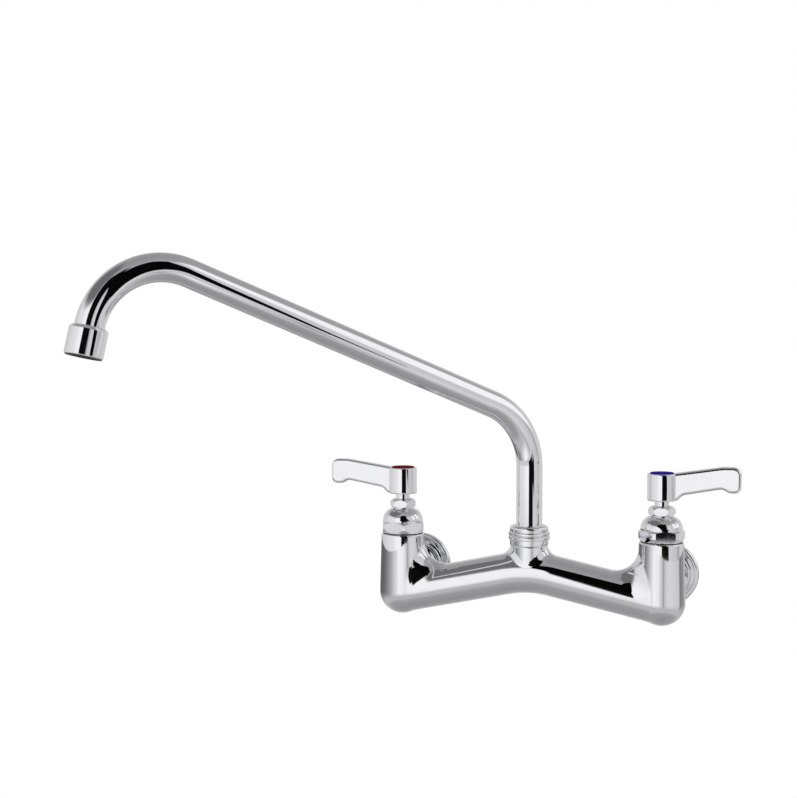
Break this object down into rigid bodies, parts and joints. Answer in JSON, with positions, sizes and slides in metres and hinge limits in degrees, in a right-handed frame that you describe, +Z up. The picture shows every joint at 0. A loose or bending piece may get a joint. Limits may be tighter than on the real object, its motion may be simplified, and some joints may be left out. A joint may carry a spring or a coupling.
{
  "type": "wall-mounted tap",
  "caption": "Chrome wall-mounted mixer tap with lever valves on a cast body, flanged wall inlets and a long swivelling spout.",
  "frame": {"origin": "on the finished wall's face, midway between the two water inlets, on the line of their axes", "axes": "+X to the right for someone facing the tap, +Y into the wall, +Z up"},
  "size_m": [0.4319, 0.3059, 0.2762],
  "materials": {
    "chrome": "polished",
    "brass": "machined",
    "steel": "satin",
    "rubber": "matte",
    "gasket": "matte",
    "packing": "matte",
    "black_plastic": "satin",
    "red_index": "gloss",
    "blue_index": "gloss"
  },
  "bodies": {
    "tap_body": {"body_casting": "chrome", "slip_ring": "gasket", "spout_nut": "chrome", "hot_inlet": "chrome", "hot_inlet_washer": "rubber", "hot_coupling_nut": "chrome", "hot_valve_seat": "brass", "hot_bonnet_gasket": "gasket", "hot_bonnet": "chrome", "hot_packing_ring": "packing", "hot_gland_ring": "brass", "hot_packing_nut": "chrome", "cold_inlet": "chrome", "cold_inlet_washer": "rubber", "cold_coupling_nut": "chrome", "cold_valve_seat": "brass", "cold_bonnet_gasket": "gasket", "cold_bonnet": "chrome", "cold_packing_ring": "packing", "cold_gland_ring": "brass", "cold_packing_nut": "chrome"},
    "spout": {"spout_tube": "chrome", "spout_sleeve": "brass", "spout_o_rings": "rubber", "ferrule": "chrome", "mouth_washer": "rubber", "flow_screen": "steel", "flow_straightener": "black_plastic"},
    "hot_valve": {"hot_washer_holder": "brass", "hot_seat_washer": "rubber", "hot_washer_screw": "brass"},
    "hot_handle": {"hot_stem": "chrome", "hot_lever_handle": "chrome", "hot_handle_screw": "brass", "hot_index_button": "red_index"},
    "cold_valve": {"cold_washer_holder": "brass", "cold_seat_washer": "rubber", "cold_washer_screw": "brass"},
    "cold_handle": {"cold_stem": "chrome", "cold_lever_handle": "chrome", "cold_handle_screw": "brass", "cold_index_button": "blue_index"}
  },
  "joints": [
    {"name": "spout_swing", "type": "hinge", "parent": "tap_body", "child": "spout", "pos_m": [0, -0.06, 0.04], "axis": [0, 0, 1], "range_deg": [-47, 143]},
    {"name": "hot_lift", "type": "slide", "parent": "tap_body", "child": "hot_valve", "axis": [0, 0, 1], "range_m": [0, 0.0023]},
    {"name": "hot_turn", "type": "hinge", "parent": "hot_valve", "child": "hot_handle", "pos_m": [-0.1016, -0.06, 0.05], "axis": [0, 0, 1], "range_deg": [0, 100]},
    {"name": "cold_lift", "type": "slide", "parent": "tap_body", "child": "cold_valve", "axis": [0, 0, 1], "range_m": [0, 0.0023]},
    {"name": "cold_turn", "type": "hinge", "parent": "cold_valve", "child": "cold_handle", "pos_m": [0.1016, -0.06, 0.05], "axis": [0, 0, -1], "range_deg": [0, 100]}
  ],
  "couplings": [
    {"joint": "hot_lift", "follows": "hot_turn", "m_per_rad": 0.0012732},
    {"joint": "cold_lift", "follows": "cold_turn", "m_per_rad": 0.0012732}
  ]
}
